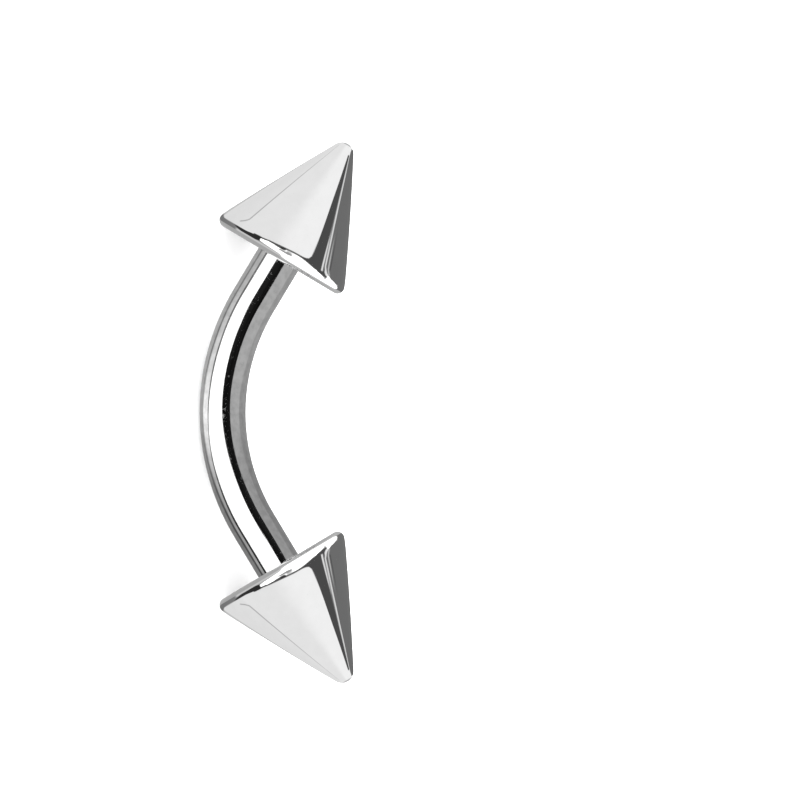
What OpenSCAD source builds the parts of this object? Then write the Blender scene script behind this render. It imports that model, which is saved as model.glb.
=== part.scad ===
// Curved eyebrow barbell: a bent bar with a screw-on spike at each end.
// It lies as it does on a table, on the outside of its bend and the rims of both spikes.

/* [Bar] */
// Diameter of the bar
bar_d = 1.2; // [1:0.05:1.6]
// Straight distance between the inner faces of the two spikes
wear_length = 7.94; // [6:0.01:14]
// Angle that each half of the bar bends through
bend_angle = 31; // [25:0.5:38]
// Straight run of bar between its bend and each spike
straight_end = 1.23; // [0.5:0.01:2]
// Rounding of the edge round each end of the bar
end_round = 0.06; // [0.02:0.01:0.12]

/* [Threaded posts] */
// Diameter over the thread
thread_d = 0.9; // [0.7:0.01:0.95]
// Pitch of the thread
thread_pitch = 0.225; // [0.175:0.005:0.3]
// Length of each post beyond the end of the bar
post_length = 0.9; // [0.7:0.01:1.5]
// Chamfer round the tip of each post
post_chamfer = 0.1; // [0.05:0.01:0.15]

/* [Spikes] */
// Diameter of a spike over its rounded rim
spike_d = 3.73; // [3:0.01:4.5]
// Height of a spike from its inner face to its tip
spike_h = 3.51; // [3:0.01:6]
// Radius of the rounded rim
rim_r = 0.19; // [0.1:0.01:0.3]
// Radius of the rounded tip
tip_r = 0.31; // [0.1:0.01:0.5]

/* [Fits] */
// Depth that the end of the bar sits into a spike
seat_depth = 0.35; // [0.2:0.01:0.5]
// Gap round the bar in its seat
seat_clearance = 0.03; // [0.02:0.01:0.08]
// Gap round the thread in its hole
thread_clearance = 0.03; // [0.02:0.01:0.06]
// Gap between the end of the bar and the bottom of its seat
end_clearance = 0.02; // [0.01:0.01:0.1]
// Gap beyond the tip of the post
tip_clearance = 0.15; // [0.05:0.01:0.4]
// Width of the chamfer at the mouth of the seat
mouth_chamfer = 0.08; // [0.05:0.01:0.15]

/* [Hidden] */
$fn = 96;

bar_r = bar_d / 2;
spike_r = spike_d / 2;

// The bend: its plane is XY here, its outside faces -Y and the spikes point out towards +Y.
// The inner faces of the spikes are centred on the X axis.
bend_r = (wear_length / 2 - straight_end * cos(bend_angle)) / sin(bend_angle);
bend_centre = bend_r * cos(bend_angle) - straight_end * sin(bend_angle);
belly_depth = bend_r - bend_centre;

// A V thread: its depth and the flats at its crest and root follow from the pitch.
thread_depth = 0.6134 * thread_pitch;
crest_half = thread_pitch / 16;
flank_slope = tan(30);
core_r = thread_d / 2 - thread_depth;
post_start = seat_depth - end_clearance;
post_end = post_start + post_length;
thread_sides = 24;
// The ridge rises and fades over this many turns, and its root lies this far inside the core.
fade_turns = 0.3;
root_sink = 0.02;

// A spike's outline: the flank touches the circle of the rim and the circle of the tip.
rim_x = spike_r - rim_r;
tip_y = spike_h - tip_r;
flank_angle = acos((tip_r - rim_r) / norm([rim_x, tip_y - rim_r])) - atan2(tip_y - rim_r, rim_x);

// Holes in a spike
seat_r = bar_r + seat_clearance;
hole_r = thread_d / 2 + thread_clearance;
hole_end = post_end + tip_clearance;
drill_angle = 59;

// How far a spike reaches from the centre of its inner face, in a direction whose cosine with
// the spike's axis is c: its rim is the furthest there, or its tip.
function spike_reach(c) = max(
    rim_x * sqrt(1 - c * c) + rim_r * c + rim_r,
    tip_y * c + tip_r
);

// How it lies: its plane leans back until the bar's outside and both rims touch the floor.
// The sine of the lean solves a quadratic, and a bend too shallow to touch leaves it upright.
lean_a = belly_depth + rim_r * sin(bend_angle);
lean_b = bar_r - rim_r;
lean_c = pow(lean_a, 2) + pow(rim_x * sin(bend_angle), 2);
lean_root = sqrt(pow(lean_a * lean_b, 2) + lean_c * (pow(rim_x, 2) - pow(lean_b, 2)));
lean = asin(min(1, (lean_root - lean_a * lean_b) / lean_c));
axis_rise = sin(bend_angle) * sin(lean);
axis_back = sin(bend_angle) * cos(lean);
chord_height = max(belly_depth * sin(lean) + bar_r, spike_reach(-axis_rise));
back_reach = spike_reach(axis_back);
front_reach = max(spike_reach(-axis_back), belly_depth * cos(lean) + bar_r);

// Leans the barbell back and sets it on the floor, centred front to back.
module lying() {
    translate([0, (front_reach - back_reach) / 2, chord_height])
        rotate([lean, 0, 0])
            children();
}

// Puts what is drawn along +Z at one end of the bar, from the inner face of its spike outwards.
module at_end(side) {
    translate([side * wear_length / 2, 0, 0])
        rotate([0, 90, side > 0 ? bend_angle : 180 - bend_angle])
            children();
}

// The straight end of the bar along +Z, from the end of the bend, with its far edge rounded.
module straight_run() {
    run = straight_end + post_start;
    rotate_extrude() {
        square([bar_r, run - end_round]);
        square([bar_r - end_round, run]);
        intersection() {
            translate([bar_r - end_round, run - end_round])
                circle(r = end_round);
            square([bar_r, run]);
        }
    }
}

// Half of the bar, drawn from where its bend meets its straight end, and cut at the middle.
module half_bar() {
    past_middle = 2;
    span = 4 * wear_length;
    intersection() {
        translate([bend_r * sin(bend_angle), bend_centre - bend_r * cos(bend_angle), 0])
            rotate([0, 0, bend_angle]) {
                rotate([0, 90, 0])
                    straight_run();
                translate([0, bend_r, 0])
                    rotate_extrude(
                        angle = bend_angle + past_middle,
                        start = 270 - bend_angle - past_middle
                    )
                        translate([bend_r, 0])
                            circle(r = bar_r);
            }
        translate([0, -span / 2, -span / 2])
            cube(span);
    }
}

// One corner of the thread's ridge, on section i, at a height along the post and a radius.
function ridge_point(i, rise, r) = [
    r * cos(360 * i / thread_sides),
    r * sin(360 * i / thread_sides),
    thread_pitch * i / thread_sides + rise
];

// A right-handed ridge wound round the core, which rises out of it and fades back into it.
module thread_ridge() {
    length = post_length - post_chamfer - thread_pitch * 0.6;
    count = floor(length / thread_pitch * thread_sides);
    fade_count = fade_turns * thread_sides;
    root = core_r - root_sink;
    full = thread_depth + root_sink;
    points = [
        for (i = [0 : count])
            let (
                height = root_sink / 2 + (full - root_sink / 2)
                    * min(1, i / fade_count, (count - i) / fade_count),
                half = crest_half + height * flank_slope
            )
            each [
                ridge_point(i, -half, root),
                ridge_point(i, -crest_half, root + height),
                ridge_point(i, crest_half, root + height),
                ridge_point(i, half, root)
            ]
    ];
    sides = [
        for (i = [0 : count - 1], k = [0 : 3])
            let (a = 4 * i + k, b = 4 * i + (k + 1) % 4)
            each [[a, b, b + 4], [a, b + 4, a + 4]]
    ];
    last = 4 * count;
    ends = [
        [0, 2, 1], [0, 3, 2],
        [last, last + 1, last + 2], [last, last + 2, last + 3]
    ];
    polyhedron(points = points, faces = concat(sides, ends));
}

module threaded_post() {
    cylinder(r = core_r, h = post_end - post_chamfer);
    translate([0, 0, post_end - post_chamfer])
        cylinder(r1 = core_r, r2 = core_r - post_chamfer, h = post_chamfer);
    translate([0, 0, post_start + thread_pitch / 2])
        thread_ridge();
}

module spike_outline() {
    polygon([
        [0, 0],
        [rim_x, 0],
        [rim_x + rim_r * cos(flank_angle), rim_r + rim_r * sin(flank_angle)],
        [tip_r * cos(flank_angle), tip_y + tip_r * sin(flank_angle)],
        [0, tip_y]
    ]);
    translate([rim_x, rim_r])
        circle(r = rim_r);
    intersection() {
        translate([0, tip_y])
            circle(r = tip_r);
        square([spike_r, spike_h + tip_r]);
    }
}

// A spike on +Z, with a seat for the end of the bar and a blind hole for the post.
module spike() {
    difference() {
        rotate_extrude()
            spike_outline();
        translate([0, 0, -seat_depth])
            cylinder(r = seat_r, h = 2 * seat_depth);
        translate([0, 0, -mouth_chamfer])
            cylinder(r1 = seat_r + 2 * mouth_chamfer, r2 = seat_r, h = 2 * mouth_chamfer);
        cylinder(r = hole_r, h = hole_end);
        translate([0, 0, hole_end])
            cylinder(r1 = hole_r, r2 = 0, h = hole_r / tan(drill_angle));
    }
}

module curved_bar() {
    color("silver")
        lying() {
            half_bar();
            mirror([1, 0, 0])
                half_bar();
            for (side = [-1, 1])
                at_end(side)
                    threaded_post();
        }
}

module upper_spike() {
    color("lightsteelblue")
        lying() at_end(-1) spike();
}

module lower_spike() {
    color("lightsteelblue")
        lying() at_end(1) spike();
}

curved_bar();
upper_spike();
lower_spike();
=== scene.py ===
"""Looks of a curved eyebrow barbell: a bent steel bar with a cone spike screwed on each end.

Each piece is turned from an outline by Geometry Nodes, in millimetres and in the frame of the
bend, then put in the row frame in metres over the CAD node that it stands for.
"""

import logging
import math
from dataclasses import dataclass, field, replace
from enum import Enum
from functools import partial
from typing import Callable, Sequence

import bmesh
import bpy
import numpy as np
from bpy.types import Material, Mesh, Node, NodeSocket, NodeTree, Object
from mathutils import Matrix, Vector

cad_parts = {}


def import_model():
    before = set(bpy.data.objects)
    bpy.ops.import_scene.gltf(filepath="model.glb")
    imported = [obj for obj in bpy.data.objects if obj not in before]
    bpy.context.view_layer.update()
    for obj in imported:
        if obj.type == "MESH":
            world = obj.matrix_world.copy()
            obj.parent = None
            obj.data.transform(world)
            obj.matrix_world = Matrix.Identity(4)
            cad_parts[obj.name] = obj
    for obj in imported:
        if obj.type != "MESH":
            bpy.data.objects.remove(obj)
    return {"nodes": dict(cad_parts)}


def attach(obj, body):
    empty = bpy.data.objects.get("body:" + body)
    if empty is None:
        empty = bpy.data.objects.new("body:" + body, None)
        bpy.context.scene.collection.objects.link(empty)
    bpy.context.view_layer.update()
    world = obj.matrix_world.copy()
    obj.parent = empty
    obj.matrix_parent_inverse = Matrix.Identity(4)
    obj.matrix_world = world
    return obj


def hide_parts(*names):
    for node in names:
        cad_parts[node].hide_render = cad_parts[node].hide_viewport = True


MM = 0.001
MATH = "ShaderNodeMath"
LOG = logging.getLogger("barbell")
Span = tuple[float, float]
Point = tuple[float, float, float]


class End(Enum):
    """The two ends of the barbell, by the sign of their place along X."""

    UPPER = -1
    LOWER = 1


class Piece(Enum):
    """The real pieces, each with its object's name, CAD node, body and material slot."""

    BAR = ("bent_bar", "curved_bar", "bar", "bar_steel")
    UPPER = ("cone_spike_upper", "upper_spike", "upper", "spike_steel")
    LOWER = ("cone_spike_lower", "lower_spike", "lower", "spike_steel")

    @property
    def object_name(self) -> str:
        """Name of the piece's object."""
        return self.value[0]

    def claim(self, obj: Object) -> None:
        """Lets an object stand for this piece.

        Args:
            obj: the finished object, at the origin.
        """
        _, node, body, slot = self.value
        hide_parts(node)
        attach(obj, body)


def add_node(
    tree: NodeTree, kind: str, inputs: dict[int | str, object] | None = None, **settings: object
) -> Node:
    """Adds a node with its settings, and fills its inputs.

    Args:
        tree: the tree that gets the node.
        kind: the node's type.
        inputs: input name or number, and its value, or the node or socket linked to it.
        settings: properties of the node.

    Returns:
        The new node.
    """
    node = tree.nodes.new(kind)
    for name, value in settings.items():
        setattr(node, name, value)
    for key, value in (inputs or {}).items():
        source = value.outputs[0] if isinstance(value, Node) else value
        if isinstance(source, NodeSocket):
            tree.links.new(source, node.inputs[key])
        else:
            node.inputs[key].default_value = source
    return node


def linear_colour(hex_code: str) -> tuple[float, float, float, float]:
    """Turns an sRGB colour into the linear one that shaders use.

    Args:
        hex_code: the colour as six hex digits.

    Returns:
        Linear red, green, blue and an alpha of 1.
    """
    parts = [int(hex_code[i : i + 2], 16) / 255 for i in (0, 2, 4)]
    return tuple(c / 12.92 if c <= 0.04045 else ((c + 0.055) / 1.055) ** 2.4 for c in parts) + (1.0,)


@dataclass(frozen=True)
class Sizes:
    """The barbell's sizes in millimetres, the same as in the CAD source."""

    # depth of a V thread as a share of its pitch
    THREAD_DEPTH = 0.6134

    bar_d: float = 1.2
    wear_length: float = 7.94
    bend_angle: float = math.radians(31)
    straight_end: float = 1.23
    end_round: float = 0.06
    thread_d: float = 0.9
    thread_pitch: float = 0.225
    post_length: float = 0.9
    post_chamfer: float = 0.1
    spike_d: float = 3.73
    spike_h: float = 3.51
    rim_r: float = 0.19
    tip_r: float = 0.31
    seat_depth: float = 0.35
    seat_clearance: float = 0.03
    thread_clearance: float = 0.03
    end_clearance: float = 0.02
    tip_clearance: float = 0.15
    mouth_chamfer: float = 0.08

    @property
    def bend_r(self) -> float:
        """Radius of the bend's centre line."""
        half_chord = self.wear_length / 2 - self.straight_end * math.cos(self.bend_angle)
        return half_chord / math.sin(self.bend_angle)

    @property
    def belly_depth(self) -> float:
        """Distance from the chord between the spikes to the bar's middle."""
        centre = self.bend_r * math.cos(self.bend_angle) - self.straight_end * math.sin(self.bend_angle)
        return self.bend_r - centre

    @property
    def half_run(self) -> float:
        """Length of centre line from the bar's middle to a spike's inner face."""
        return self.bend_r * self.bend_angle + self.straight_end

    @property
    def core_r(self) -> float:
        """Radius at the root of the thread."""
        return self.thread_d / 2 - self.THREAD_DEPTH * self.thread_pitch

    @property
    def rim_x(self) -> float:
        """Radius at which the rim of a spike is rounded."""
        return self.spike_d / 2 - self.rim_r

    @property
    def post_start(self) -> float:
        """Where the bar ends and its post begins, from a spike's inner face."""
        return self.seat_depth - self.end_clearance

    @property
    def post_end(self) -> float:
        """Where the post ends, from a spike's inner face."""
        return self.post_start + self.post_length

    @property
    def lean(self) -> float:
        """Finds how far the bend's plane leans back as the barbell lies.

        Returns:
            The angle at which the outside of the bar and both rims touch the table.
        """
        sine = math.sin(self.bend_angle)
        a, b = self.belly_depth + self.rim_r * sine, self.bar_d / 2 - self.rim_r
        c = a**2 + (self.rim_x * sine) ** 2
        return math.asin((math.sqrt((a * b) ** 2 + c * (self.rim_x**2 - b**2)) - a * b) / c)

    def spike_reach(self, cosine: float) -> float:
        """How far a spike reaches from the centre of its inner face.

        Args:
            cosine: cosine of the direction with the spike's axis.

        Returns:
            The reach in millimetres, of its rim or of its tip.
        """
        rim = self.rim_x * math.sqrt(1 - cosine**2) + self.rim_r * cosine + self.rim_r
        return max(rim, (self.spike_h - self.tip_r) * cosine + self.tip_r)

    def bend_to_row(self) -> Matrix:
        """Places the bend's frame, with its chord on X, in the row frame.

        Returns:
            The matrix from millimetres in that frame to metres in the row frame.
        """
        sine, cosine = math.sin(self.lean), math.cos(self.lean)
        height = self.belly_depth * sine + self.bar_d / 2
        back = math.sin(self.bend_angle) * cosine
        front = max(self.spike_reach(-back), self.belly_depth * cosine + self.bar_d / 2)
        shift = (front - self.spike_reach(back)) / 2
        place = Matrix.Translation((0, shift, height))
        return Matrix.Scale(MM, 4) @ place @ Matrix.Rotation(self.lean, 4, "X")

    def belly_to_row(self) -> Matrix:
        """Places what is drawn from the bar's middle, in metres."""
        return self.bend_to_row() @ Matrix.Translation((0, -self.belly_depth, 0))

    def end_to_row(self, end: End) -> Matrix:
        """Places what is drawn along +X from a spike's inner face, in metres.

        Args:
            end: the end of the barbell.

        Returns:
            The matrix from that frame to the row frame.
        """
        turn = self.bend_angle if end is End.LOWER else math.pi - self.bend_angle
        place = Matrix.Translation((end.value * self.wear_length / 2, 0, 0))
        return self.bend_to_row() @ place @ Matrix.Rotation(turn, 4, "Z")


@dataclass(frozen=True)
class Corner:
    """A corner of a turned outline, in millimetres.

    Attributes:
        along: place along the axis.
        out: distance from the axis.
        rounding: radius of the rounding at this corner.
        groove: depth of the helical groove in the run that ends here.
        steps: number of equal steps in the run that ends here.
    """

    along: float
    out: float
    rounding: float = 0.0
    groove: float = 0.0
    steps: int = 1


@dataclass(frozen=True)
class Arc:
    """An arc of a turned outline, with its angles from the outward direction towards +X.

    Attributes:
        centre: its centre in millimetres, along the axis and out from it.
        radius: its radius in millimetres.
        start: angle that it starts at, in radians.
        stop: angle that it stops at.
        steps: number of its steps, or 0 for the usual fineness.
    """

    centre: Vector
    radius: float
    start: float
    stop: float
    steps: int = 0

    def spot(self, angle: float) -> Vector:
        """Finds the point of its circle at an angle.

        Args:
            angle: the angle in radians.

        Returns:
            The point, along the axis and out from it.
        """
        return self.centre + self.radius * Vector((math.sin(angle), math.cos(angle)))


class Outline:
    """A half section of a turned piece: points along its axis, out from it, and how deep a groove is."""

    # the largest turn in one step of an arc, and of a small rounding, which has some steps at least
    ARC_STEP = math.radians(7)
    ROUNDING_STEP = math.radians(15)
    ROUNDING_STEPS = 3
    # a point stands this near to each end of a run, in millimetres, to hold the rounding beside it,
    # and in a short run no further in than this share of it
    SUPPORT = 0.012
    SUPPORT_SHARE = 0.25
    # share of a run over which its groove rises, and fades again
    GROOVE_FADE = 0.2

    def __init__(self) -> None:
        """Starts with no points."""
        self.points: list[Point] = []

    def arc(self, arc: Arc) -> "Outline":
        """Adds an arc.

        Args:
            arc: the arc.

        Returns:
            This outline.
        """
        steps = arc.steps or math.ceil(abs(arc.stop - arc.start) / self.ARC_STEP)
        for i in range(steps + 1):
            spot = arc.spot(arc.start + (arc.stop - arc.start) * i / steps)
            self.points.append((spot.x, max(0.0, spot.y), 0.0))
        return self

    def path(self, corners: Sequence[Corner]) -> "Outline":
        """Adds straight runs, with their corners rounded and held by close points.

        Args:
            corners: the corners in order. The first and last ones aren't rounded.

        Returns:
            This outline.
        """
        last = Vector((corners[0].along, corners[0].out))
        self.points.append((*last, 0.0))
        for i in range(1, len(corners)):
            corner = corners[i]
            spot = Vector((corner.along, corner.out))
            curve = [spot]
            if corner.rounding and i < len(corners) - 1:
                after = Vector((corners[i + 1].along, corners[i + 1].out))
                curve = self.rounded(last, spot, after, corner.rounding)
            self.run(last, curve[0], corner)
            self.points += [(*p, 0.0) for p in curve[1:]]
            last = curve[-1]
        return self

    def run(self, start: Vector, stop: Vector, corner: Corner) -> None:
        """Adds one straight run, from just after its start to its stop.

        Args:
            start: where it starts, which is already there.
            stop: where it stops.
            corner: gives its number of steps and its groove.
        """
        length = (stop - start).length
        near = min(self.SUPPORT / length, self.SUPPORT_SHARE) if length else self.SUPPORT_SHARE
        shares = [near] + [i / corner.steps for i in range(1, corner.steps)] + [1 - near, 1]
        for share in sorted(shares):
            fade = min(1.0, share / self.GROOVE_FADE, (1 - share) / self.GROOVE_FADE)
            self.points.append((*start.lerp(stop, share), corner.groove * fade))

    @staticmethod
    def rounded(before: Vector, spot: Vector, after: Vector, radius: float) -> list[Vector]:
        """Rounds one corner.

        Args:
            before: the point that the outline comes from.
            spot: the corner.
            after: the next corner.
            radius: radius of the rounding.

        Returns:
            The points of the rounding.
        """
        into, away = (before - spot).normalized(), (after - spot).normalized()
        half = into.angle(away) / 2
        cut = radius / math.tan(half)
        centre = spot + (into + away).normalized() * radius / math.sin(half)
        first, final = spot + into * cut - centre, spot + away * cut - centre
        turn = math.atan2(first.x * final.y - first.y * final.x, first.dot(final))
        steps = max(Outline.ROUNDING_STEPS, math.ceil(abs(turn) / Outline.ROUNDING_STEP))
        return [centre + Matrix.Rotation(turn * i / steps, 2) @ first for i in range(steps + 1)]

    def mirrored(self) -> "Outline":
        """Doubles this outline.

        Returns:
            This outline with its mirror image put before it.
        """
        both = Outline()
        both.points = [(-a, o, g) for a, o, g in reversed(self.points)] + self.points
        return both


class TreeMaker:
    """Starts a Geometry Nodes tree that shapes a grid, and makes plain meshes with it."""

    # points of a seam or pole that are nearer than this become one
    MERGE_MM = 1e-5
    # added to a point's row number, so that rounding never puts it in the row before
    NUDGE = 1e-4

    def __init__(self, name: str, inputs: dict[str, str]) -> None:
        """Makes the tree's interface.

        Args:
            name: name of the tree.
            inputs: name of each input, and the type of its socket.
        """
        self.tree = bpy.data.node_groups.new(name, "GeometryNodeTree")
        face = self.tree.interface
        face.new_socket("Geometry", in_out="INPUT", socket_type="NodeSocketGeometry")
        for label, kind in inputs.items():
            face.new_socket(label, in_out="INPUT", socket_type=kind)
        face.new_socket("Material", in_out="INPUT", socket_type="NodeSocketMaterial")
        face.new_socket("Geometry", in_out="OUTPUT", socket_type="NodeSocketGeometry")
        self.add = partial(add_node, self.tree)
        self.source = self.add("NodeGroupInput").outputs
        size = self.add("GeometryNodeAttributeDomainSize", {"Geometry": self.source["Geometry"]})
        self.count = size.outputs["Point Count"]

    def start(self, rows: Node | NodeSocket, columns: Node) -> tuple[Node, Node, Node]:
        """Makes the grid, and finds where in it each point is.

        Args:
            rows: its number of rows.
            columns: its number of points in a row.

        Returns:
            The grid, the number of a point's row, and the point's number in its row.
        """
        grid = self.add("GeometryNodeMeshGrid", {"Vertices X": rows, "Vertices Y": columns})
        index = self.add("GeometryNodeInputIndex")
        ratio = self.add(MATH, {0: index, 1: columns}, operation="DIVIDE")
        nudged = self.add(MATH, {0: ratio, 1: self.NUDGE}, operation="ADD")
        row = self.add(MATH, {0: nudged}, operation="FLOOR")
        first = self.add(MATH, {0: row, 1: columns}, operation="MULTIPLY")
        return grid, row, self.add(MATH, {0: index, 1: first}, operation="SUBTRACT")

    def given(self, number: Node) -> Node:
        """Finds one of the points that the tree was given.

        Args:
            number: the point's number.

        Returns:
            Its place.
        """
        place = self.add("GeometryNodeInputPosition")
        inputs = {"Geometry": self.source["Geometry"], "Value": place, "Index": number}
        return self.add("GeometryNodeSampleIndex", inputs, data_type="FLOAT_VECTOR")

    def close(self, grid: Node, places: Node) -> None:
        """Ends the tree: moves the points, merges seams and poles, and gives the mesh its material.

        Args:
            grid: the grid.
            places: where its points go.
        """
        shaped = self.add("GeometryNodeSetPosition", {"Geometry": grid, "Position": places})
        merged = self.add("GeometryNodeMergeByDistance", {"Geometry": shaped, "Distance": self.MERGE_MM})
        smooth = self.add("GeometryNodeSetShadeSmooth", {"Geometry": merged})
        real = self.add("GeometryNodeRealizeInstances", {"Geometry": smooth})
        made = self.add("GeometryNodeSetMaterial", {"Geometry": real, "Material": self.source["Material"]})
        self.add("NodeGroupOutput", {"Geometry": made})

    def mesh(self, points: Sequence[Point], values: dict[str, object], place: Matrix) -> Mesh:
        """Runs the tree on a row of points and keeps the result as a plain mesh.

        Args:
            points: the points of the outline or section.
            values: the tree's inputs by name.
            place: matrix from the piece's frame to the row frame.

        Returns:
            The mesh in the row frame.
        """
        outline = bpy.data.meshes.new("outline")
        outline.from_pydata(points, [], [])
        maker = bpy.data.objects.new("maker", outline)
        bpy.context.scene.collection.objects.link(maker)
        modifier = maker.modifiers.new("shape", "NODES")
        modifier.node_group = self.tree
        ids = {s.name: s.identifier for s in self.tree.interface.items_tree if s.in_out == "INPUT"}
        for label, value in values.items():
            modifier[ids[label]] = value
        graph = bpy.context.evaluated_depsgraph_get()
        result = bpy.data.meshes.new_from_object(maker.evaluated_get(graph), depsgraph=graph)
        bpy.data.objects.remove(maker)
        bpy.data.meshes.remove(outline)
        result.transform(place)
        return result


class TurnedShape(TreeMaker):
    """Turns an outline round the X axis, cuts a helical groove in it, and bends its axis to an arc."""

    def __init__(self) -> None:
        """Builds the tree."""
        super().__init__(
            "turn an outline and bend its axis",
            {"Sides": "NodeSocketInt"}
            | dict.fromkeys(("Bend radius", "Bent length", "Groove pitch"), "NodeSocketFloat"),
        )
        add, source = self.add, self.source
        columns = add(MATH, {0: source["Sides"], 1: 1.0}, operation="ADD")
        grid, row, column = self.start(self.count, columns)
        turn = add(MATH, {0: column, 1: source["Sides"]}, operation="DIVIDE")
        point = add("ShaderNodeSeparateXYZ", {0: self.given(row)}).outputs
        # the groove is a V that winds once round the axis in each pitch
        wound = add(MATH, {0: point[0], 1: source["Groove pitch"]}, operation="DIVIDE")
        phase = add(MATH, {0: wound, 1: turn}, operation="SUBTRACT")
        fold = add(MATH, {0: phase, 1: 0.5}, operation="PINGPONG")
        depth = add(MATH, {0: fold, 1: 2.0}, operation="MULTIPLY")
        radius = add(MATH, {0: depth, 1: point[2], 2: point[1]}, operation="MULTIPLY_ADD")
        # a point is bent by what its axis bends up to there, and goes straight on past the arc
        lowest = add(MATH, {0: source["Bent length"], 1: -1.0}, operation="MULTIPLY")
        low = add(MATH, {0: point[0], 1: lowest}, operation="MAXIMUM")
        bent = add(MATH, {0: low, 1: source["Bent length"]}, operation="MINIMUM")
        beyond = add(MATH, {0: point[0], 1: bent}, operation="SUBTRACT")
        angle = add(MATH, {0: bent, 1: source["Bend radius"]}, operation="DIVIDE")
        around = add(MATH, {0: turn, 1: math.tau}, operation="MULTIPLY")
        spoke = add("ShaderNodeCombineXYZ", {"X": beyond, "Y": radius})
        ring = add("ShaderNodeVectorRotate", {"Vector": spoke, "Angle": around}, rotation_type="X_AXIS")
        middle = add("ShaderNodeCombineXYZ", {"Y": source["Bend radius"]})
        bend = {"Vector": ring, "Center": middle, "Angle": angle}
        self.close(grid, add("ShaderNodeVectorRotate", bend, rotation_type="Z_AXIS"))


class ThreadShape(TreeMaker):
    """Winds a section round the X axis as the ridge of a screw thread, fading at both ends."""

    def __init__(self) -> None:
        """Builds the tree."""
        super().__init__(
            "wind a thread ridge",
            {"Steps a turn": "NodeSocketInt"}
            | dict.fromkeys(("Turns", "Pitch", "Start", "Root radius", "Fade turns"), "NodeSocketFloat"),
        )
        add, source = self.add, self.source
        columns = add(MATH, {0: self.count, 1: 1.0}, operation="ADD")
        steps = add(MATH, {0: source["Turns"], 1: source["Steps a turn"]}, operation="MULTIPLY")
        whole = add(MATH, {0: steps}, operation="ROUND")
        rows = add(MATH, {0: whole, 1: 1.0}, operation="ADD")
        grid, row, column = self.start(rows, columns)
        closed = add(MATH, {0: column, 1: self.count}, operation="MODULO")
        wound = add(MATH, {0: row, 1: source["Steps a turn"]}, operation="DIVIDE")
        left = add(MATH, {0: source["Turns"], 1: wound}, operation="SUBTRACT")
        nearer = add(MATH, {0: wound, 1: left}, operation="MINIMUM")
        limits = {"Value": nearer, "From Min": 0.0, "From Max": source["Fade turns"]}
        fade = add("ShaderNodeMapRange", limits, interpolation_type="SMOOTHSTEP")
        small = add("ShaderNodeVectorMath", {0: self.given(closed), "Scale": fade}, operation="SCALE")
        part = add("ShaderNodeSeparateXYZ", {0: small}).outputs
        rise = add(MATH, {0: wound, 1: source["Pitch"], 2: source["Start"]}, operation="MULTIPLY_ADD")
        along = add(MATH, {0: rise, 1: part[0]}, operation="ADD")
        radius = add(MATH, {0: part[1], 1: source["Root radius"]}, operation="ADD")
        spoke = add("ShaderNodeCombineXYZ", {"X": along, "Y": radius})
        around = add(MATH, {0: wound, 1: math.tau}, operation="MULTIPLY")
        ring = add("ShaderNodeVectorRotate", {"Vector": spoke, "Angle": around}, rotation_type="X_AXIS")
        self.close(grid, ring)


def joined(name: str, meshes: Sequence[Mesh], material: Material) -> Object:
    """Joins closed meshes into one object at the origin, with every face outwards.

    Args:
        name: name of the new object.
        meshes: its meshes, which are removed.
        material: its one material.

    Returns:
        The object, linked to the scene.
    """
    shape = bmesh.new()
    for mesh in meshes:
        shape.from_mesh(mesh)
        bpy.data.meshes.remove(mesh)
    bmesh.ops.recalc_face_normals(shape, faces=shape.faces)
    result = bpy.data.meshes.new(name)
    shape.to_mesh(result)
    shape.free()
    result.materials.append(material)
    result.shade_smooth()
    obj = bpy.data.objects.new(name, result)
    bpy.context.scene.collection.objects.link(obj)
    return obj


def blank(name: str) -> tuple[Material, Callable[..., Node]]:
    """Starts a material.

    Args:
        name: its name.

    Returns:
        The material without nodes, and add_node for its tree.
    """
    made = bpy.data.materials.new(name)
    made.use_nodes = True
    made.node_tree.nodes.clear()
    return made, partial(add_node, made.node_tree)


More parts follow.
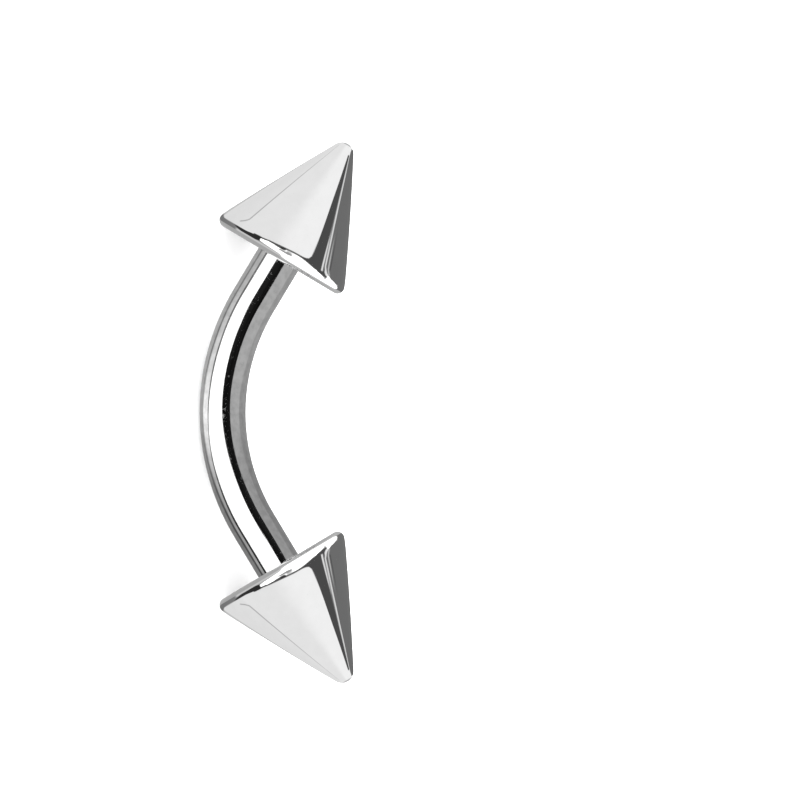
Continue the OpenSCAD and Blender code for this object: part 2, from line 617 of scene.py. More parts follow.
@dataclass(frozen=True)
class PolishedSteel:
    """Surgical steel, drawn or turned and then buffed to a mirror.

    It gives the eye hard-edged reflections, a faint waviness from the buffing wheel, cloudy
    patches where the buffing was uneven, and pits that sparkle where the steel reflects black.

    Attributes:
        name: name of the material.
        colour: reflected colour as sRGB hex.
        cloud_colour: colour of the duller patches as sRGB hex.
        cloud_mm: size of the patches.
        roughness: roughness of the buffed surface.
        pit_roughness: roughness in a pit.
        pit_mm: spacing of the pits.
        wave_mm: size of the buffing waves.
        wave_height_mm: their height.
    """

    # stretches of the noise over which it turns into a patch, and its peaks into a pit
    PATCHES = {"From Min": 0.35, "From Max": 0.65}
    PITS = {"From Min": 0.6, "From Max": 0.75}

    name: str
    colour: str
    cloud_colour: str
    cloud_mm: float
    roughness: float
    pit_roughness: float
    pit_mm: float
    wave_mm: float
    wave_height_mm: float

    def material(self) -> Material:
        """Builds the material.

        Returns:
            The material, whose patterns stand in Object coordinates.
        """
        made, add = blank(self.name)
        place = add("ShaderNodeTexCoord").outputs["Object"]
        cloud, pit, wave = (
            add("ShaderNodeTexNoise", {"Vector": place, "Scale": 1 / (size * MM), "Detail": detail})
            for size, detail in ((self.cloud_mm, 3.0), (self.pit_mm, 1.0), (self.wave_mm, 1.0))
        )
        share = add("ShaderNodeMapRange", {"Value": cloud} | self.PATCHES)
        mixed = {"Factor": share, 6: linear_colour(self.colour), 7: linear_colour(self.cloud_colour)}
        colour = add("ShaderNodeMix", mixed, data_type="RGBA").outputs[2]
        ends = {"To Min": self.roughness, "To Max": self.pit_roughness}
        rough = add("ShaderNodeMapRange", {"Value": pit} | self.PITS | ends)
        height = self.wave_height_mm * MM
        bump = add("ShaderNodeBump", {"Height": wave, "Distance": height})
        inputs = {"Base Color": colour, "Metallic": 1.0, "Roughness": rough, "Normal": bump}
        add("ShaderNodeOutputMaterial", {"Surface": add("ShaderNodeBsdfPrincipled", inputs)})
        return made


# drawn wire, bent and then buffed by hand: hard reflections under a faint cloudy mottling, with pits
# drawn coarser than the real ones of a hundredth of a millimetre, which wouldn't show
BAR_STEEL = PolishedSteel(
    name="drawn surgical steel, buffed",
    colour="E0E0E0",
    cloud_colour="CFCFCF",
    cloud_mm=0.2,
    roughness=0.05,
    pit_roughness=0.16,
    pit_mm=0.1,
    wave_mm=0.5,
    wave_height_mm=0.0004,
)
# turned and buffed on a wheel: a clean mirror, even in colour and without pits
SPIKE_STEEL = PolishedSteel(
    name="turned surgical steel, mirror buffed",
    colour="DEDEDE",
    cloud_colour="DCDCDC",
    cloud_mm=0.3,
    roughness=0.03,
    pit_roughness=0.03,
    pit_mm=0.05,
    wave_mm=1.2,
    wave_height_mm=0.0005,
)


@dataclass(frozen=True)
class MattPaper:
    """Uncoated white card under the barbell.

    It gives the eye an even white without gloss or grain, on which only soft shadows show.

    Attributes:
        colour: its colour as sRGB hex.
    """

    colour: str = "F4F4F4"

    def material(self) -> Material:
        """Builds the material.

        Returns:
            The material.
        """
        made, add = blank("matt white paper")
        inputs = {"Base Color": linear_colour(self.colour), "Roughness": 1.0, "Specular IOR Level": 0.0}
        add("ShaderNodeOutputMaterial", {"Surface": add("ShaderNodeBsdfPrincipled", inputs)})
        return made


@dataclass(frozen=True)
class TentCloth:
    """Clear cloth that glows where cards are painted on it.

    The eye meets it only as bands of light and dark in the steel.

    Attributes:
        attribute: the mesh's attribute that gives its glow.
    """

    attribute: str = "glow"

    def material(self) -> Material:
        """Builds the material.

        Returns:
            The material, which no lamp sampling looks for: only mirrored rays find it.
        """
        made, add = blank("light tent cloth")
        made.cycles.emission_sampling = "NONE"
        glow = add("ShaderNodeAttribute", attribute_name=self.attribute).outputs["Fac"]
        both = {0: add("ShaderNodeEmission", {"Strength": glow}), 1: add("ShaderNodeBsdfTransparent")}
        add("ShaderNodeOutputMaterial", {"Surface": add("ShaderNodeAddShader", both)})
        return made


@dataclass
class CurvedBar:
    """The bent bar with a threaded post at each end, in one piece of steel.

    Attributes:
        sizes: the barbell's sizes.
        sides: faces round the bar.
        bend_steps: steps along each half of the bend.
        straight_steps: steps along each straight end.
        post_steps: steps along each post.
        shoulder_round: rounding where a post meets the end of the bar, in millimetres.
        steps_a_turn: steps in each turn of the thread.
        root_sink: how far the ridge's root lies inside the core, in millimetres.
        fade_turns: turns over which the ridge rises, and fades again.
        ridge_short: how much shorter the ridge is than the post above its chamfer, in pitches.
    """

    # share of the pitch that is half of the crest's flat, and slope of the thread's flanks
    CREST = 1 / 16
    FLANK = math.radians(30)
    # where the crest's rounded edge leaves the flank and meets the flat, as shares of that half
    EDGE_DOWN = 0.25
    EDGE_IN = 0.7

    sizes: Sizes
    sides: int = 160
    bend_steps: int = 70
    straight_steps: int = 12
    post_steps: int = 4
    shoulder_round: float = 0.02
    steps_a_turn: int = 72
    root_sink: float = 0.02
    fade_turns: float = 0.3
    ridge_short: float = 0.6

    def outline(self) -> Outline:
        """Draws the bar's half section.

        Returns:
            The outline from one post's tip to the other's.
        """
        s = self.sizes
        end = s.half_run + s.post_start
        tip = s.half_run + s.post_end
        flat = s.core_r - s.post_chamfer
        half = Outline().path(
            [
                Corner(0, s.bar_d / 2),
                Corner(s.bend_r * s.bend_angle, s.bar_d / 2, steps=self.bend_steps),
                Corner(end, s.bar_d / 2, rounding=s.end_round, steps=self.straight_steps),
                Corner(end, s.core_r, rounding=self.shoulder_round),
                Corner(tip - s.post_chamfer, s.core_r, self.shoulder_round, steps=self.post_steps),
                Corner(tip, flat, rounding=self.shoulder_round),
                Corner(tip, 0),
            ]
        )
        half.points.pop(0)
        return half.mirrored()

    def ridge_section(self) -> list[Point]:
        """Draws the V section of the thread's ridge.

        Returns:
            Its corners, with the crest rounded off.
        """
        s = self.sizes
        height = s.thread_d / 2 - s.core_r + self.root_sink
        crest = s.thread_pitch * self.CREST
        foot = crest + height * math.tan(self.FLANK)
        down = self.EDGE_DOWN * crest
        half = [(foot, 0, 0), (crest + down, height - 2 * down, 0), (crest * self.EDGE_IN, height, 0)]
        return [(-along, out, none) for along, out, none in half] + half[::-1]

    def surface(self, turn: float, along: float) -> tuple[Vector, Vector]:
        """Finds a place on the bar, as if its bend ran on past its ends.

        Args:
            turn: degrees round the bar, from its line facing the camera to the inside of the bend.
            along: millimetres along the bar, from its middle towards its lower end.

        Returns:
            The point and its normal, in the row frame in metres.
        """
        s = self.sizes
        bend, spin = along / s.bend_r, math.radians(turn)
        inward = Vector((-math.sin(bend), math.cos(bend), 0))
        normal = math.sin(spin) * inward + Vector((0, 0, math.cos(spin)))
        middle = Vector((0, s.bend_r, 0)) - s.bend_r * inward
        row = s.belly_to_row()
        return row @ (middle + s.bar_d / 2 * normal), (row.to_3x3() @ normal).normalized()

    def build(self, turned: TurnedShape, thread: ThreadShape, steel: Material) -> Object:
        """Builds the bar.

        Args:
            turned: tree that turns and bends outlines.
            thread: tree that winds thread ridges.
            steel: its material.

        Returns:
            The finished object.
        """
        s = self.sizes
        inputs = {
            "Sides": self.sides,
            "Bend radius": s.bend_r,
            "Bent length": s.bend_r * s.bend_angle,
            "Groove pitch": s.thread_pitch,
            "Material": steel,
        }
        meshes = [turned.mesh(self.outline().points, inputs, s.belly_to_row())]
        length = s.post_length - s.post_chamfer - self.ridge_short * s.thread_pitch
        ridge = {
            "Turns": length / s.thread_pitch,
            "Steps a turn": self.steps_a_turn,
            "Pitch": s.thread_pitch,
            "Start": s.post_start + s.thread_pitch / 2,
            "Root radius": s.core_r - self.root_sink,
            "Fade turns": self.fade_turns,
            "Material": steel,
        }
        meshes += [thread.mesh(self.ridge_section(), ridge, s.end_to_row(end)) for end in End]
        return joined(Piece.BAR.object_name, meshes, steel)


@dataclass
class Spike:
    """A cone spike with a seat for the bar's end and a threaded blind hole.

    Attributes:
        sizes: the barbell's sizes.
        end: the end of the bar that it is screwed on.
        sides: faces round the spike.
        edge_round: rounding of its machined edges, in millimetres.
        rim_stop: slope in radians where the rim's arc passes into a shoulder left by polishing.
        shoulder_r: radius of that shoulder, in millimetres.
        flank_r: radius of the flank's slight crown, in millimetres.
        thread_depth: depth of the internal thread, cut outwards from the hole, in millimetres.
        hole_steps: steps along the hole, which carry that thread.
        face_steps: steps across the inner face.
        drill: slope of the hole's drilled point, in radians.
    """

    sizes: Sizes
    end: End
    sides: int = 200
    edge_round: float = 0.012
    rim_stop: float = math.radians(21.5)
    shoulder_r: float = 3.5
    flank_r: float = 80.0
    thread_depth: float = 0.05
    hole_steps: int = 44
    face_steps: int = 4
    drill: float = math.radians(59)

    @property
    def piece(self) -> Piece:
        """The real piece that it is."""
        return Piece[self.end.name]

    def arcs(self) -> list[Arc]:
        """Finds the arcs of its outside, each of which touches the next.

        Returns:
            The arcs of its tip, flank, shoulder and rim.
        """
        s = self.sizes
        tip, rim = Vector((s.spike_h - s.tip_r, 0)), Vector((s.rim_r, s.rim_x))
        low = self.rim_stop
        shoulder = rim - (self.shoulder_r - s.rim_r) * Vector((math.sin(low), math.cos(low)))
        gap, apart = self.flank_r - self.shoulder_r, shoulder - tip
        reach = (apart.length_squared + gap**2 - (self.flank_r - s.tip_r) ** 2) / (2 * gap)
        middle = math.atan2(apart.x, apart.y) + math.acos(reach / apart.length)
        flank = shoulder - gap * Vector((math.sin(middle), math.cos(middle)))
        high = math.atan2(tip.x - flank.x, tip.y - flank.y)
        return [
            Arc(tip, s.tip_r, math.pi / 2, high),
            Arc(flank, self.flank_r, high, middle, steps=24),
            Arc(shoulder, self.shoulder_r, middle, low, steps=12),
            Arc(rim, s.rim_r, low, -math.pi / 2, steps=32),
        ]

    def surface(self, turn: float, along: float) -> tuple[Vector, Vector]:
        """Finds a place on the outside of the spike.

        Args:
            turn: degrees round the spike, from its line facing the camera to the inside of the bend.
            along: millimetres above the spike's inner face.

        Returns:
            The point and its normal, in the row frame in metres.
        """
        arcs = self.arcs()
        arc = next((a for a in arcs if along > a.spot(a.stop).x), arcs[-1])
        slope = math.asin(max(-1.0, min(1.0, (along - arc.centre.x) / arc.radius)))
        spin = math.radians(turn)
        out = Vector((0, self.end.value * math.sin(spin), math.cos(spin)))
        normal = math.cos(slope) * out + Vector((math.sin(slope), 0, 0))
        place = Vector((along, 0, 0)) + arc.spot(slope).y * out
        row = self.sizes.end_to_row(self.end)
        return row @ place, (row.to_3x3() @ normal).normalized()

    def outline(self) -> Outline:
        """Draws the spike's half section.

        Returns:
            The outline from the tip, down the flank and into the hole.
        """
        s = self.sizes
        seat_r = s.bar_d / 2 + s.seat_clearance
        hole_r = s.thread_d / 2 + s.thread_clearance
        hole_end = s.post_end + s.tip_clearance
        shape = Outline()
        for arc in self.arcs():
            shape.arc(arc)
        edge = self.edge_round
        shape.path(
            [
                Corner(0, s.rim_x),
                Corner(0, seat_r + s.mouth_chamfer, rounding=edge, steps=self.face_steps),
                Corner(s.mouth_chamfer, seat_r, rounding=edge),
                Corner(s.seat_depth, seat_r, rounding=edge),
                Corner(s.seat_depth, hole_r, rounding=edge),
                Corner(hole_end, hole_r, groove=self.thread_depth, steps=self.hole_steps),
                Corner(hole_end + hole_r / math.tan(self.drill), 0),
            ]
        )
        return shape

    def build(self, turned: TurnedShape, steel: Material) -> Object:
        """Builds the spike.

        Args:
            turned: tree that turns outlines.
            steel: its material.

        Returns:
            The finished object.
        """
        inputs = {
            "Sides": self.sides,
            "Bend radius": 1.0,
            "Bent length": 0.0,
            "Groove pitch": self.sizes.thread_pitch,
            "Material": steel,
        }
        mesh = turned.mesh(self.outline().points, inputs, self.sizes.end_to_row(self.end))
        return joined(self.piece.object_name, [mesh], steel)


@dataclass(frozen=True)
class Card:
    """A card in a light tent, glowing or black.

    Its corners are places on the piece that mirrors it to the camera: degrees round the piece and
    millimetres along it, as the piece's surface method takes them. A card that is set straight in
    the tent has for corners the turn and tilt, in degrees, of a surface that would mirror it.

    Attributes:
        outline: its corners.
        glow: radiance at its first turn and at its last one, or at each of its rows.
        soft: width of its soft edge in degrees.
        rows: places along the piece that its radiances belong to, if they change that way.
        in_tent: whether its corners are turns and tilts.
    """

    outline: tuple[Span, ...]
    glow: tuple[float, ...]
    soft: float = 0.6
    rows: tuple[float, ...] = ()
    in_tent: bool = False

    def inside(self, turn: np.ndarray, tilt: np.ndarray) -> np.ndarray:
        """Measures how far inside the card each place in the tent is.

        Args:
            turn: turn of each place in degrees.
            tilt: tilt of each place in degrees.

        Returns:
            Distances to the outline in degrees, less than zero outside it.
        """
        spots = np.stack([turn, tilt], -1)
        corners = np.array(self.outline, float)
        nearest, odd = np.full(turn.shape, np.inf), np.zeros(turn.shape, bool)
        for a, b in zip(corners, np.roll(corners, -1, axis=0)):
            side = b - a
            # the nearest place on this side, which may have no length
            share = np.clip((spots - a) @ side / max(side @ side, 1e-12), 0, 1)
            nearest = np.minimum(nearest, np.linalg.norm(spots - a - share[..., None] * side, axis=-1))
            # a place is inside when a line from it crosses the outline an odd number of times
            if side[1]:
                odd ^= ((a[1] > tilt) != (b[1] > tilt)) & (turn < a[0] + (tilt - a[1]) * side[0] / side[1])
        return np.where(odd, nearest, -nearest)

    def paint(self, tent: np.ndarray, turn: np.ndarray, tilt: np.ndarray) -> np.ndarray:
        """Lays the card over what the tent has so far.

        Args:
            tent: radiance at each place.
            turn: turn of each place in degrees.
            tilt: tilt of each place in degrees.

        Returns:
            The new radiances.
        """
        share = np.clip(self.inside(turn, tilt) / self.soft + 0.5, 0, 1)
        # eased, so that the edge has no kink
        share = share * share * (3 - 2 * share)
        if self.rows:
            rows, glows = zip(*sorted(zip(self.rows, self.glow)))
            return tent * (1 - share) + share * np.interp(tilt, rows, glows)
        turns = [corner[0] for corner in self.outline]
        return tent * (1 - share) + share * np.interp(turn, (min(turns), max(turns)), self.glow)


def sheet(turns: Span, tilts: Span, *glow: float, soft: float = 0.6) -> Card:
    """Makes a plain oblong card that is set straight in the tent.

    Args:
        turns: its first and last turn.
        tilts: its first and last tilt.
        glow: its radiance, or those at its first and at its last turn.
        soft: width of its soft edge in degrees.

    Returns:
        The card.
    """
    (left, right), (low, high) = turns, tilts
    corners = ((left, low), (right, low), (right, high), (left, high))
    return Card(corners, (glow[0], glow[-1]), soft, in_tent=True)


def patch(outline: tuple[Span, ...], *glow: float, soft: float = 0.6) -> Card:
    """Makes a card that fills an outline on the piece.

    Args:
        outline: its corners, each a turn and a place along the piece.
        glow: its radiance, or those at its first and at its last turn.
        soft: width of its soft edge in degrees.

    Returns:
        The card.
    """
    return Card(outline, (glow[0], glow[-1]), soft)


def strip(rows: Sequence[tuple[float, float, float, float]], soft: float = 0.6) -> Card:
    """Makes a card that runs along the piece.

    Args:
        rows: a place along the piece, the strip's left and right turn there, and its radiance.
        soft: width of its soft edge in degrees.

    Returns:
        The card.
    """
    left = [(row[1], row[0]) for row in rows]
    right = [(row[2], row[0]) for row in reversed(rows)]
    return Card(tuple(left + right), tuple(row[3] for row in rows), soft, tuple(row[0] for row in rows))


# more than any turn or tilt in a tent
ALL = (-99, 99)
# what the bar mirrors: the rows of each strip are along, left, right, glow
BAR_CARDS = (
    sheet(ALL, ALL, 1.9),
    # a grey wall behind the outside of the bend, and the edge where white light begins
    sheet((-99, -45), ALL, 0.48, soft=3),
    strip(
        (
            (-4.5, -80, -32.5, 0.5), (-1.8, -80, -32.5, 0.55), (-0.6, -80, -35.5, 0.52),
            (0, -80, -37.5, 0.47), (0.6, -80, -39, 0.42), (1.2, -80, -38.7, 0.36), (1.8, -80, -37, 0.32),
            (3, -80, -36, 0.28), (4.5, -80, -35.5, 0.27),
        ),
        soft=1,
    ),
    # dark gaps in the wall, left of a strip light that is brightest at the middle of the bar
    strip(
        (
            (-4.5, -59, -53, 0.3), (-1.8, -58, -52, 0.28), (-1.2, -61, -56, 0.3), (-0.6, -64, -60, 0.42),
        ),
        soft=1.5,
    ),
    strip(
        (
            (0.5, -66, -62, 0.36), (1.2, -62, -57, 0.22), (1.8, -60, -53, 0.16), (2.4, -57, -50, 0.1),
            (4.5, -57, -50, 0.09),
        ),
        soft=1.5,
    ),
    strip(
        (
            (-4.5, -51, -35, 0.55), (-3, -51, -35, 0.66), (-1.8, -51, -35, 0.85), (-1.2, -53, -36, 1),
            (0, -58, -39, 1.3), (0.6, -56, -40, 1.12), (1.2, -54, -40, 0.72), (1.8, -51, -39, 0.58),
            (2.4, -49, -38, 0.46), (4.5, -50, -38, 0.5),
        ),
        soft=2.5,
    ),
    # a dark line beside the white light
    strip(
        (
            (-4.5, -38, -32.8, 0.24), (-3, -38.3, -33.3, 0.2), (-1.8, -37.2, -32.5, 0.26),
            (-1.2, -38.3, -33.5, 0.2), (-0.6, -39.3, -35.5, 0.24), (0, -40.8, -37.5, 0.26),
            (0.6, -41.5, -39, 0.34), (1.2, -42.3, -38.7, 0.2), (1.8, -42, -37, 0.12),
            (2.4, -42, -36.2, 0.04), (4.5, -42, -35.5, 0),
        ),
        soft=1,
    ),
    # a grey wall on the side of the spikes' tips, darker at its far side and towards the lower end
    sheet((15, 99), ALL, 0.54, 0.47),
    strip(
        (
            (-4.5, 17, 51, 0.55), (0, 17, 51, 0.54), (0.6, 17, 51, 0.5), (1.5, 17, 51, 0.43),
            (4.5, 17, 51, 0.41),
        ),
        soft=2,
    ),
    strip(
        (
            (-4.5, 50, 80, 0.43), (-1.2, 50, 80, 0.42), (-0.6, 45, 80, 0.39), (0.6, 45, 80, 0.37),
            (1.5, 49, 80, 0.31), (4.5, 53, 80, 0.29),
        ),
        soft=4,
    ),
    # black in front of the wall, on both sides of where the bar gathers all of the tent's tilts
    sheet((6.6, 14.5), ALL, 0.007),
    # the straight run below the upper spike looks past the end of the next strip
    sheet((0.5, 12), (1.4, 12), 0.014, soft=0.4),
    strip(
        (
            (-4.5, -4.2, 11.5, 0.018), (-3, -4.2, 11.5, 0.018), (-2.4, -2.2, 11.5, 0.017),
            (-1.2, -1.8, 11.5, 0.013), (-0.6, -2.2, 11.5, 0.008), (0, -1.8, 11.5, 0.007),
            (0.6, 0.6, 11.5, 0.007), (1.2, 3.7, 11.5, 0.008), (1.8, 6.4, 11.5, 0.01),
            (2.4, 7.6, 11.5, 0.012), (4.5, 6.6, 11.5, 0.012),
        ),
        soft=0.4,
    ),
    strip(
        (
            (-4.5, 10.5, 19.9, 0.004), (-1.8, 10.5, 19.6, 0.005), (-1.2, 10.5, 19.3, 0.008),
            (-0.6, 10.5, 18.1, 0.012), (0, 10.5, 18.4, 0.01), (0.6, 10.5, 19.6, 0.01),
            (1.2, 10.5, 21.7, 0.01), (1.8, 10.5, 24.2, 0.012), (2.4, 10.5, 26.1, 0.015),
            (4.5, 10.5, 26.6, 0.016),
        ),
        soft=0.6,
    ),
)
# what each spike mirrors
SPIKE_CARDS = (
    sheet(ALL, ALL, 1.06),
    sheet((-6, 99), ALL, 1.2, soft=20),
    sheet((-99, -42), ALL, 0.85, 1.03),
    sheet(ALL, (59, 99), 0.6, soft=8),
    sheet((-99, -76), ALL, 0.6, soft=5),
    # a slit between two lights, bent at its lower end
    patch(
        ((-43.3, 3.37), (-43.2, 0.52), (-44, 0.485), (-46, 0.425), (-49.3, 0.36), (-48.3, 0.335),
         (-44.7, 0.41), (-42.5, 0.485), (-42, 0.52), (-42, 3.37)),
        0.5, soft=0.7,
    ),
    # the table, which the rim and the inner face see, and walls on the side of the other spike's tip
    sheet(ALL, (-99, 8), 0.5, 0.56, soft=3),
    patch(
        ((35.3, 0.22), (35.5, 2.6), (40, 3.36), (44, 3.4), (47.5, 3.435), (89, 3.435), (89, 0.22)),
        0.2, soft=2,
    ),
    sheet((63, 99), (-22, 50), 0.2, soft=3),
    patch(
        ((29.3, 3.35), (27.2, 2.94), (25.6, 2.1), (25.3, 1.4), (25, 1), (24.2, 0.66), (23.6, 0.515),
         (23, 0.49), (22, 0.44), (19.7, 0.41), (16.8, 0.395), (7.3, 0.385), (0, 0.363), (-9, 0.333),
         (-14, 0.317), (-21, 0.28), (-29, 0.258), (-29, 0.245), (45.3, 0.245), (45.3, 0.29), (40.4, 0.34),
         (36.4, 0.38), (35.9, 0.49), (36, 1), (36.3, 3.35)),
        0.075, 0.095, soft=0.35,
    ),
    # thin lights between the walls, which fan out near the rim
    patch(((38.2, 0.55), (39.7, 0.55), (39.5, 1.1), (38.6, 1.25), (37.8, 1.1)), 0.45),
    patch(
        ((36.8, 0.33), (38.8, 0.33), (38.4, 0.41), (38, 0.63), (37.6, 1.25), (36.4, 1), (36.5, 0.44)),
        1, soft=0.5,
    ),
    patch(
        ((37.4, 3), (37.2, 2.2), (37.6, 1.7), (38.7, 1.2), (39.5, 0.8), (39.7, 0.47), (40.9, 0.4),
         (41.2, 0.333), (43.5, 0.28), (45.3, 0.257), (50.8, 0.257), (47.8, 0.307), (44.6, 0.343),
         (43.2, 0.388), (41.3, 0.478), (41, 0.9), (40.5, 1.4), (40.1, 2.1), (40.4, 3)),
        0.85, 1.3, soft=0.5,
    ),
    patch(
        ((43.3, 1.05), (43.4, 0.7), (43.9, 0.454), (44.9, 0.387), (46.3, 0.336), (48.8, 0.328),
         (46.8, 0.386), (45.6, 0.45), (44.9, 0.7), (44.4, 1.05)),
        0.65,
    ),
    patch(((46.2, 1.15), (46.3, 0.453), (47.8, 0.452), (47.6, 1.13)), 0.12, soft=0.8),
    # the rim sees the table: white in front, black to the left of that
    patch(
        ((-89, 0.3), (-82, 0.27), (-76.5, 0.252), (-70.4, 0.21), (-62.3, 0.198), (-54.2, 0.201),
         (-46.2, 0.215), (-45.8, 0.102), (-89, 0.102)),
        0.2, 0.27, soft=4,
    ),
    sheet((-47, 4), (-27, -14), 0.78, soft=5),
    sheet((0, 68), (-38, -27), 0.7, soft=5),
    patch(
        ((-51.2, 0.2), (-44.5, 0.21), (-37, 0.215), (-34, 0.224), (-31.4, 0.237), (-28.8, 0.246),
         (-26.1, 0.255), (-23.6, 0.268), (-21.4, 0.262), (-20.8, 0.17), (-25, 0.145), (-41, 0.14),
         (-46, 0.16)),
        0.05, 0.03, soft=1.5,
    ),
    patch(
        ((-21.3, 0.238), (-20, 0.248), (-11.4, 0.272), (0, 0.315), (6, 0.336), (11.8, 0.346), (16.6, 0.339),
         (21.4, 0.32), (26.4, 0.293), (31.6, 0.262), (35, 0.252), (37.2, 0.243), (40.8, 0.22), (43, 0.188),
         (44.6, 0.188), (45.5, 0.26), (47.2, 0.295), (49.8, 0.259), (53.4, 0.253), (57.3, 0.233),
         (61.7, 0.198), (65.4, 0.158), (65.3, 0.128), (61.4, 0.103), (5.9, 0.1), (1.2, 0.112),
         (-0.8, 0.149), (-16.9, 0.172), (-21, 0.187)),
        2.2, soft=0.5,
    ),
    # a grey bulge in that white light, with a black notch in it
    patch(
        ((-6, 0.232), (4, 0.228), (8, 0.25), (8, 0.3), (6, 0.33), (3, 0.33), (2, 0.28), (-4, 0.255)),
        0.42, soft=2,
    ),
    patch(
        ((-8.5, 0.26), (-9, 0.288), (-4, 0.308), (-3, 0.33), (1, 0.336), (1.5, 0.31), (0, 0.28),
         (-4, 0.262)),
        0.05,
    ),
)


def spaced(*spans: tuple[float, float, float]) -> np.ndarray:
    """Lists angles over a row of stretches, each with its own spacing.

    Args:
        spans: first angle, end and step of each stretch, in degrees.

    Returns:
        The angles.
    """
    return np.concatenate([np.arange(*span) for span in spans])


# where the tents' meshes have points, closer together where a piece draws its lines thin
BAR_TURNS = spaced((-90, -6, 0.6), (-6, 30, 0.2), (30, 91, 1))
BAR_TILTS = spaced((-90, -8, 1), (-8, 8, 0.2), (8, 91, 1))
SPIKE_TURNS = spaced((-90, 20, 0.5), (20, 50, 0.2), (50, 91, 1))
SPIKE_TILTS = spaced((-90, 18, 1), (18, 32, 0.2), (32, 91, 1))


@dataclass
class Tent:
    """A ball of light round the barbell that only one piece reflects.

    Attributes:
        cards: its cards, each laid over those before it.
        surface: finds the point and normal at a place on the piece.
        to_camera: direction to the camera, which a card with no turn and no tilt stands in.
        across: direction that a card's turn leads to.
        along: direction that a card's tilt leads to.
        radius: its radius in metres.
        centre: its centre in the row frame.
        turns: turns that its mesh has points at.
        tilts: tilts that its mesh has points at.
    """

    # parts that each side of a card is cut into, because the piece bends it
    SIDE_STEPS = 4

    cards: Sequence[Card]
    surface: Callable[[float, float], tuple[Vector, Vector]]
    to_camera: Vector
    across: Vector
    along: Vector
    radius: float
    centre: Vector
    turns: np.ndarray
    tilts: np.ndarray

    def mirrored(self, turn: float, along: float) -> Span:
        """Follows the mirrored line of sight from a place on the piece to the tent.

        Args:
            turn: degrees round the piece.
            along: millimetres along the piece.

        Returns:
            The turn and tilt that stand for that place in the tent.
        """
        spot, normal = self.surface(turn, along)
        away = 2 * normal.dot(self.to_camera) * normal - self.to_camera
        start = spot - self.centre
        ahead = start.dot(away)
        hit = start + (math.sqrt(ahead**2 - start.length_squared + self.radius**2) - ahead) * away
        half = (hit.normalized() + self.to_camera).normalized()
        spin = math.atan2(half.dot(self.across), half.dot(self.to_camera))
        return math.degrees(spin), math.degrees(math.asin(half.dot(self.along)))

    def placed(self, card: Card) -> Card:
        """Turns a card given by places on the piece into one given in the tent.

        Args:
            card: the card.

        Returns:
            The same card by turns and tilts, with its sides bent as the piece bends them.
        """
        if card.in_tent:
            return card
        corners = [Vector(corner) for corner in card.outline]
        outline = tuple(
            self.mirrored(*a.lerp(b, step / self.SIDE_STEPS))
            for a, b in zip(corners, corners[1:] + corners[:1])
            for step in range(self.SIDE_STEPS)
        )
        turns = [corner.x for corner in corners]
        rows = tuple(self.mirrored((min(turns) + max(turns)) / 2, row)[1] for row in card.rows)
        return replace(card, outline=outline, rows=rows, in_tent=True)

    def build(self, piece: Object, cloth: Material) -> Object:
        """Builds the tent.

        Args:
            piece: the piece that reflects it.
            cloth: its material.

        Returns:
            The tent, which only that piece's reflections see.
        """
        turn, tilt = np.meshgrid(self.turns, self.tilts)
        glow = np.zeros(turn.shape)
        for card in self.cards:
            glow = self.placed(card).paint(glow, turn, tilt)
        spin, lean = np.radians(turn)[..., None], np.radians(tilt)[..., None]
        view, across, along = (np.array(v) for v in (self.to_camera, self.across, self.along))
        normal = np.cos(lean) * (np.cos(spin) * view + np.sin(spin) * across) + np.sin(lean) * along
        spots = (2 * (normal @ view)[..., None] * normal - view) * self.radius + np.array(self.centre)
        rows, columns = turn.shape
        first = (np.arange(rows - 1)[:, None] * columns + np.arange(columns - 1)).ravel()
        quads = np.stack([first, first + 1, first + columns + 1, first + columns], -1)
        mesh = bpy.data.meshes.new("light_tent")
        mesh.from_pydata(spots.reshape(-1, 3).tolist(), [], quads.tolist())
        mesh.attributes.new(TentCloth.attribute, "FLOAT", "POINT").data.foreach_set("value", glow.ravel())
        mesh.materials.append(cloth)
        ball = bpy.data.objects.new(f"light_tent_{piece.name}", mesh)
        # only the mirror image of it is wanted, and only in its own piece
        ball.visible_camera = ball.visible_diffuse = ball.visible_shadow = False
        receivers = bpy.data.collections.new(f"lit_{piece.name}")
        receivers.objects.link(piece)
        ball.light_linking.receiver_collection = receivers
        return ball


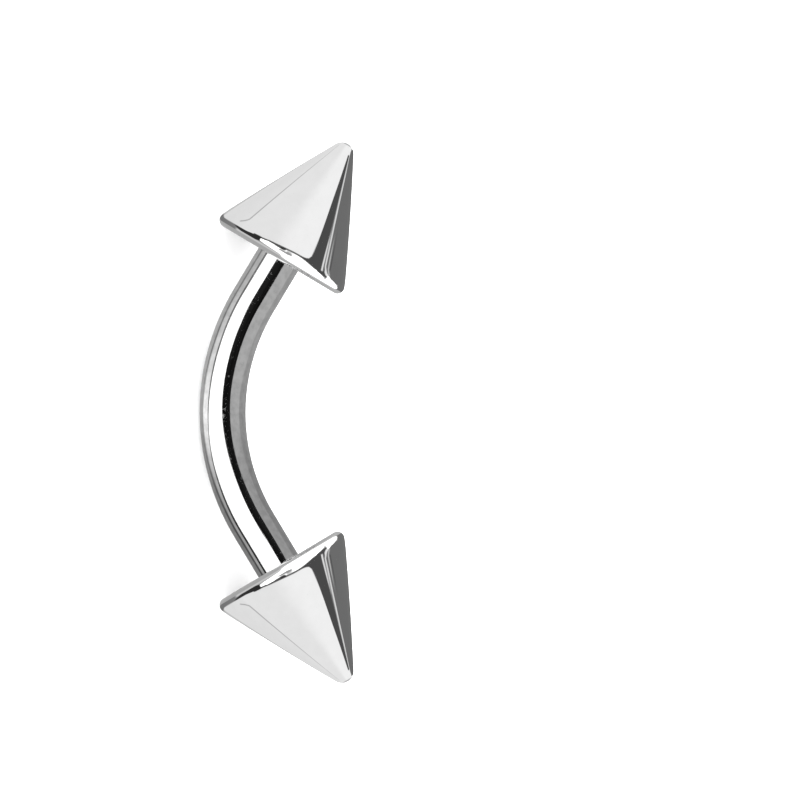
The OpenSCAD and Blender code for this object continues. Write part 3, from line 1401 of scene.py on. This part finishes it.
@dataclass
class Studio:
    """A white table, soft light, a tent round each piece, and the camera.

    Attributes:
        sizes: the barbell's sizes, which give the camera's direction.
        bar: the bar, which places its tent's cards.
        spikes: the spikes, which place their tents' cards.
        picture_mm: width and height of the square picture.
        aim_right_mm: how far right of the row's origin the camera aims, in the picture.
        aim_up_mm: how far above the row's origin it aims, in the picture.
        camera_away: distance of the camera from there, in metres.
        clip: nearest and furthest distance that the camera sees, in metres.
        bar_tent_r: radius of the bar's tent in metres, so small that the bend looks up and down it.
        spike_tent_r: radius of the spikes' tents in metres.
        floor_half: half the width of the table in metres.
        sky_strength: strength of the even light that the table sees.
        staged: what is on the stage so far.
    """

    sizes: Sizes
    bar: CurvedBar
    spikes: Sequence[Spike]
    picture_mm: float = 21.02
    aim_right_mm: float = 4.476
    aim_up_mm: float = 0.197
    camera_away: float = 0.1
    clip: Span = (0.001, 10.0)
    bar_tent_r: float = 0.015
    spike_tent_r: float = 0.3
    floor_half: float = 1.5
    sky_strength: float = 3.0
    staged: list[Object] = field(default_factory=list)

    @property
    def right(self) -> Vector:
        """Direction to the picture's right."""
        return Vector((0, math.cos(self.sizes.lean), math.sin(self.sizes.lean)))

    @property
    def up(self) -> Vector:
        """Direction to the picture's top."""
        return Vector((-1, 0, 0))

    @property
    def to_camera(self) -> Vector:
        """Direction to the camera."""
        return self.right.cross(self.up)

    def camera(self) -> None:
        """Makes the camera at the photograph's angle, without perspective."""
        data = bpy.data.cameras.new("camera")
        data.type = "ORTHO"
        data.ortho_scale = self.picture_mm * MM
        data.clip_start, data.clip_end = self.clip
        made = bpy.data.objects.new("camera", data)
        axes = Matrix((self.right, self.up, self.to_camera)).transposed().to_4x4()
        aim = (self.right * self.aim_right_mm + self.up * self.aim_up_mm) * MM
        made.matrix_world = Matrix.Translation(aim + self.to_camera * self.camera_away) @ axes
        bpy.context.scene.collection.objects.link(made)
        bpy.context.scene.camera = made

    def table(self) -> None:
        """Makes the matt white table, which the steel's tents stand in for in its reflections."""
        h = self.floor_half
        mesh = bpy.data.meshes.new("table_top")
        mesh.from_pydata([(-h, -h, 0), (h, -h, 0), (h, h, 0), (-h, h, 0)], [], [(0, 1, 2, 3)])
        mesh.materials.append(MattPaper().material())
        top = bpy.data.objects.new("table_top", mesh)
        top.visible_glossy = False
        self.keep(top)

    def keep(self, obj: Object) -> None:
        """Links an object to the scene, and lists it in staged.

        Args:
            obj: the object.
        """
        bpy.context.scene.collection.objects.link(obj)
        self.staged.append(obj)

    def sky(self) -> None:
        """Makes even white light from all round, which mirrors don't see."""
        world = bpy.data.worlds.new("even light")
        world.use_nodes = True
        # the light is the same from everywhere, so no map of it is sampled
        world.cycles.sampling_method = "NONE"
        world.node_tree.nodes.clear()
        add = partial(add_node, world.node_tree)
        mirrored = add("ShaderNodeLightPath").outputs["Is Glossy Ray"]
        glow = add("ShaderNodeMapRange", {"Value": mirrored, "To Min": self.sky_strength, "To Max": 0.0})
        background = add("ShaderNodeBackground", {"Color": linear_colour("FFFFFF"), "Strength": glow})
        add("ShaderNodeOutputWorld", {"Surface": background})
        bpy.context.scene.world = world

    def tents(self, pieces: dict[Piece, Object]) -> None:
        """Puts a tent round each piece.

        Args:
            pieces: the barbell's objects.
        """
        cloth = TentCloth().material()
        middle = self.sizes.bend_to_row().translation
        view = self.to_camera
        place = (view, self.right, self.up, self.bar_tent_r, middle)
        tent = Tent(BAR_CARDS, self.bar.surface, *place, BAR_TURNS, BAR_TILTS)
        self.keep(tent.build(pieces[Piece.BAR], cloth))
        for spike in self.spikes:
            along = (self.sizes.end_to_row(spike.end).to_3x3() @ Vector((1, 0, 0))).normalized()
            place = (view, along.cross(view) * -spike.end.value, along, self.spike_tent_r, middle)
            tent = Tent(SPIKE_CARDS, spike.surface, *place, SPIKE_TURNS, SPIKE_TILTS)
            self.keep(tent.build(pieces[spike.piece], cloth))

    def build(self, pieces: dict[Piece, Object]) -> None:
        """Builds the studio.

        Args:
            pieces: the barbell's objects.
        """
        bpy.context.scene.view_settings.view_transform = "Standard"
        self.camera()
        self.sky()
        self.table()
        self.tents(pieces)


def main() -> None:
    """Builds the barbell and its studio, and logs the CAD nodes and the faces of each piece."""
    logging.basicConfig(level=logging.INFO, format="%(message)s")
    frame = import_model()
    LOG.info("frame with %s", ", ".join(frame["nodes"]))
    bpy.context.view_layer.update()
    sizes = Sizes()
    turned, thread = TurnedShape(), ThreadShape()
    bar_steel, spike_steel = BAR_STEEL.material(), SPIKE_STEEL.material()
    bar, spikes = CurvedBar(sizes), [Spike(sizes, end) for end in End]
    pieces = {Piece.BAR: bar.build(turned, thread, bar_steel)}
    for spike in spikes:
        pieces[spike.piece] = spike.build(turned, spike_steel)
    for piece, obj in pieces.items():
        piece.claim(obj)
        LOG.info("%s: %d faces", obj.name, len(obj.data.polygons))
    Studio(sizes, bar, spikes).build(pieces)


if __name__ == "__main__":
    main()
